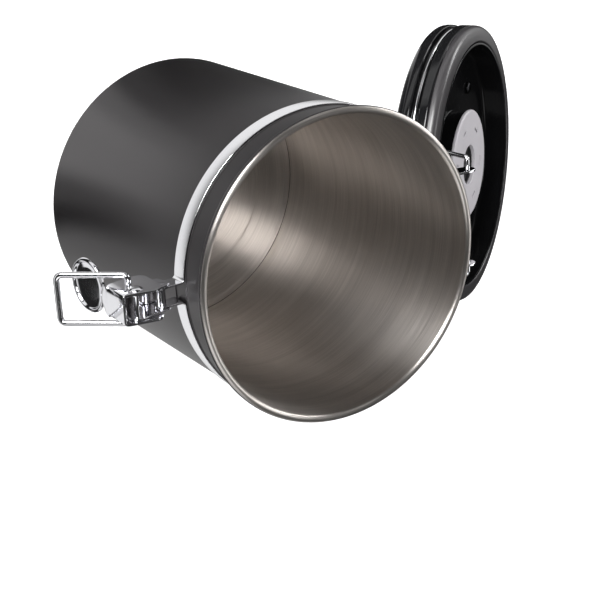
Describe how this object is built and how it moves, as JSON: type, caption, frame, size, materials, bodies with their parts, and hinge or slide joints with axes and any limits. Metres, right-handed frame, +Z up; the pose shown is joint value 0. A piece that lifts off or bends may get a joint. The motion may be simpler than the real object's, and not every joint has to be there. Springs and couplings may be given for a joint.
{
  "type": "food canister",
  "caption": "Round steel food canister with a wire-hinged gloss plastic lid, sealing ring, gas release valve, date dials and a bail latch.",
  "frame": {"origin": "centre of the base, on the surface the can stands on", "axes": "+Z up the can axis and out of its mouth, -Y towards the latch, +Y towards the lid hinge"},
  "size_m": [0.127, 0.2793, 0.1344],
  "materials": {
    "body_paint": "satin black coating outside, bare brushed steel inside and on the rim",
    "inner_steel": "brushed",
    "chrome_band": "polished",
    "chrome_latch": "polished",
    "chrome_wire": "polished",
    "lid_gloss_black": "gloss",
    "gasket_black": "satin",
    "screw_steel": "plain",
    "valve_grey": "satin",
    "valve_black": "satin",
    "flap_rubber": "satin",
    "filter_pad": "felt",
    "dial_black": "satin with pale numbers"
  },
  "bodies": {
    "can": {"can_body": "body_paint", "base_plate": "inner_steel", "base_ring": "inner_steel", "neck_band": "chrome_band", "hinge_bracket": "chrome_band", "latch_pin": "chrome_latch"},
    "link": {"latch_link": "chrome_latch"},
    "lever": {"latch_lever": "chrome_latch", "lever_rivet": "chrome_latch"},
    "bail": {"bail_wire": "chrome_wire"},
    "lid": {"lid_cover": "lid_gloss_black", "lid_skirt": "lid_gloss_black", "lid_deck": "lid_gloss_black", "lid_liner": "lid_gloss_black", "liner_plate": "lid_gloss_black", "valve_collar": "lid_gloss_black", "lid_gasket": "gasket_black", "lid_wire": "chrome_wire", "lid_catch": "chrome_latch", "liner_screws": "screw_steel", "valve_cover": "valve_grey", "valve_seat": "valve_black", "valve_flap": "flap_rubber", "valve_filter": "filter_pad", "dial_cap": "lid_gloss_black"},
    "day_wheel": {"day_dial": "dial_black"},
    "month_wheel": {"month_dial": "dial_black"}
  },
  "joints": [
    {"name": "lid_hinge", "type": "hinge", "parent": "can", "child": "lid", "pos_m": [0, 0.0753, 0.1151], "axis": [1, 0, 0], "range_deg": [0, 214.4]},
    {"name": "link_hinge", "type": "hinge", "parent": "can", "child": "link", "pos_m": [0, -0.0685, 0.1155], "axis": [-1, 0, 0], "range_deg": [0, 66.5]},
    {"name": "lever_pivot", "type": "hinge", "parent": "link", "child": "lever", "pos_m": [0, -0.08003, 0.11801], "axis": [-1, 0, 0], "range_deg": [-66.5, 0]},
    {"name": "bail_pivot", "type": "hinge", "parent": "lever", "child": "bail", "pos_m": [0, -0.07933, 0.11081], "axis": [-1, 0, 0], "range_deg": [-20, 137.3]},
    {"name": "day_turn", "type": "hinge", "parent": "lid", "child": "day_wheel", "pos_m": [0, 0.12636, 0.05639], "axis": [0, -0.565, -0.8251], "continuous": true},
    {"name": "month_turn", "type": "hinge", "parent": "lid", "child": "month_wheel", "pos_m": [0, 0.12636, 0.05639], "axis": [0, -0.565, -0.8251], "continuous": true}
  ],
  "couplings": [
    {"joint": "lever_pivot", "follows": "link_hinge", "ratio": -1}
  ]
}
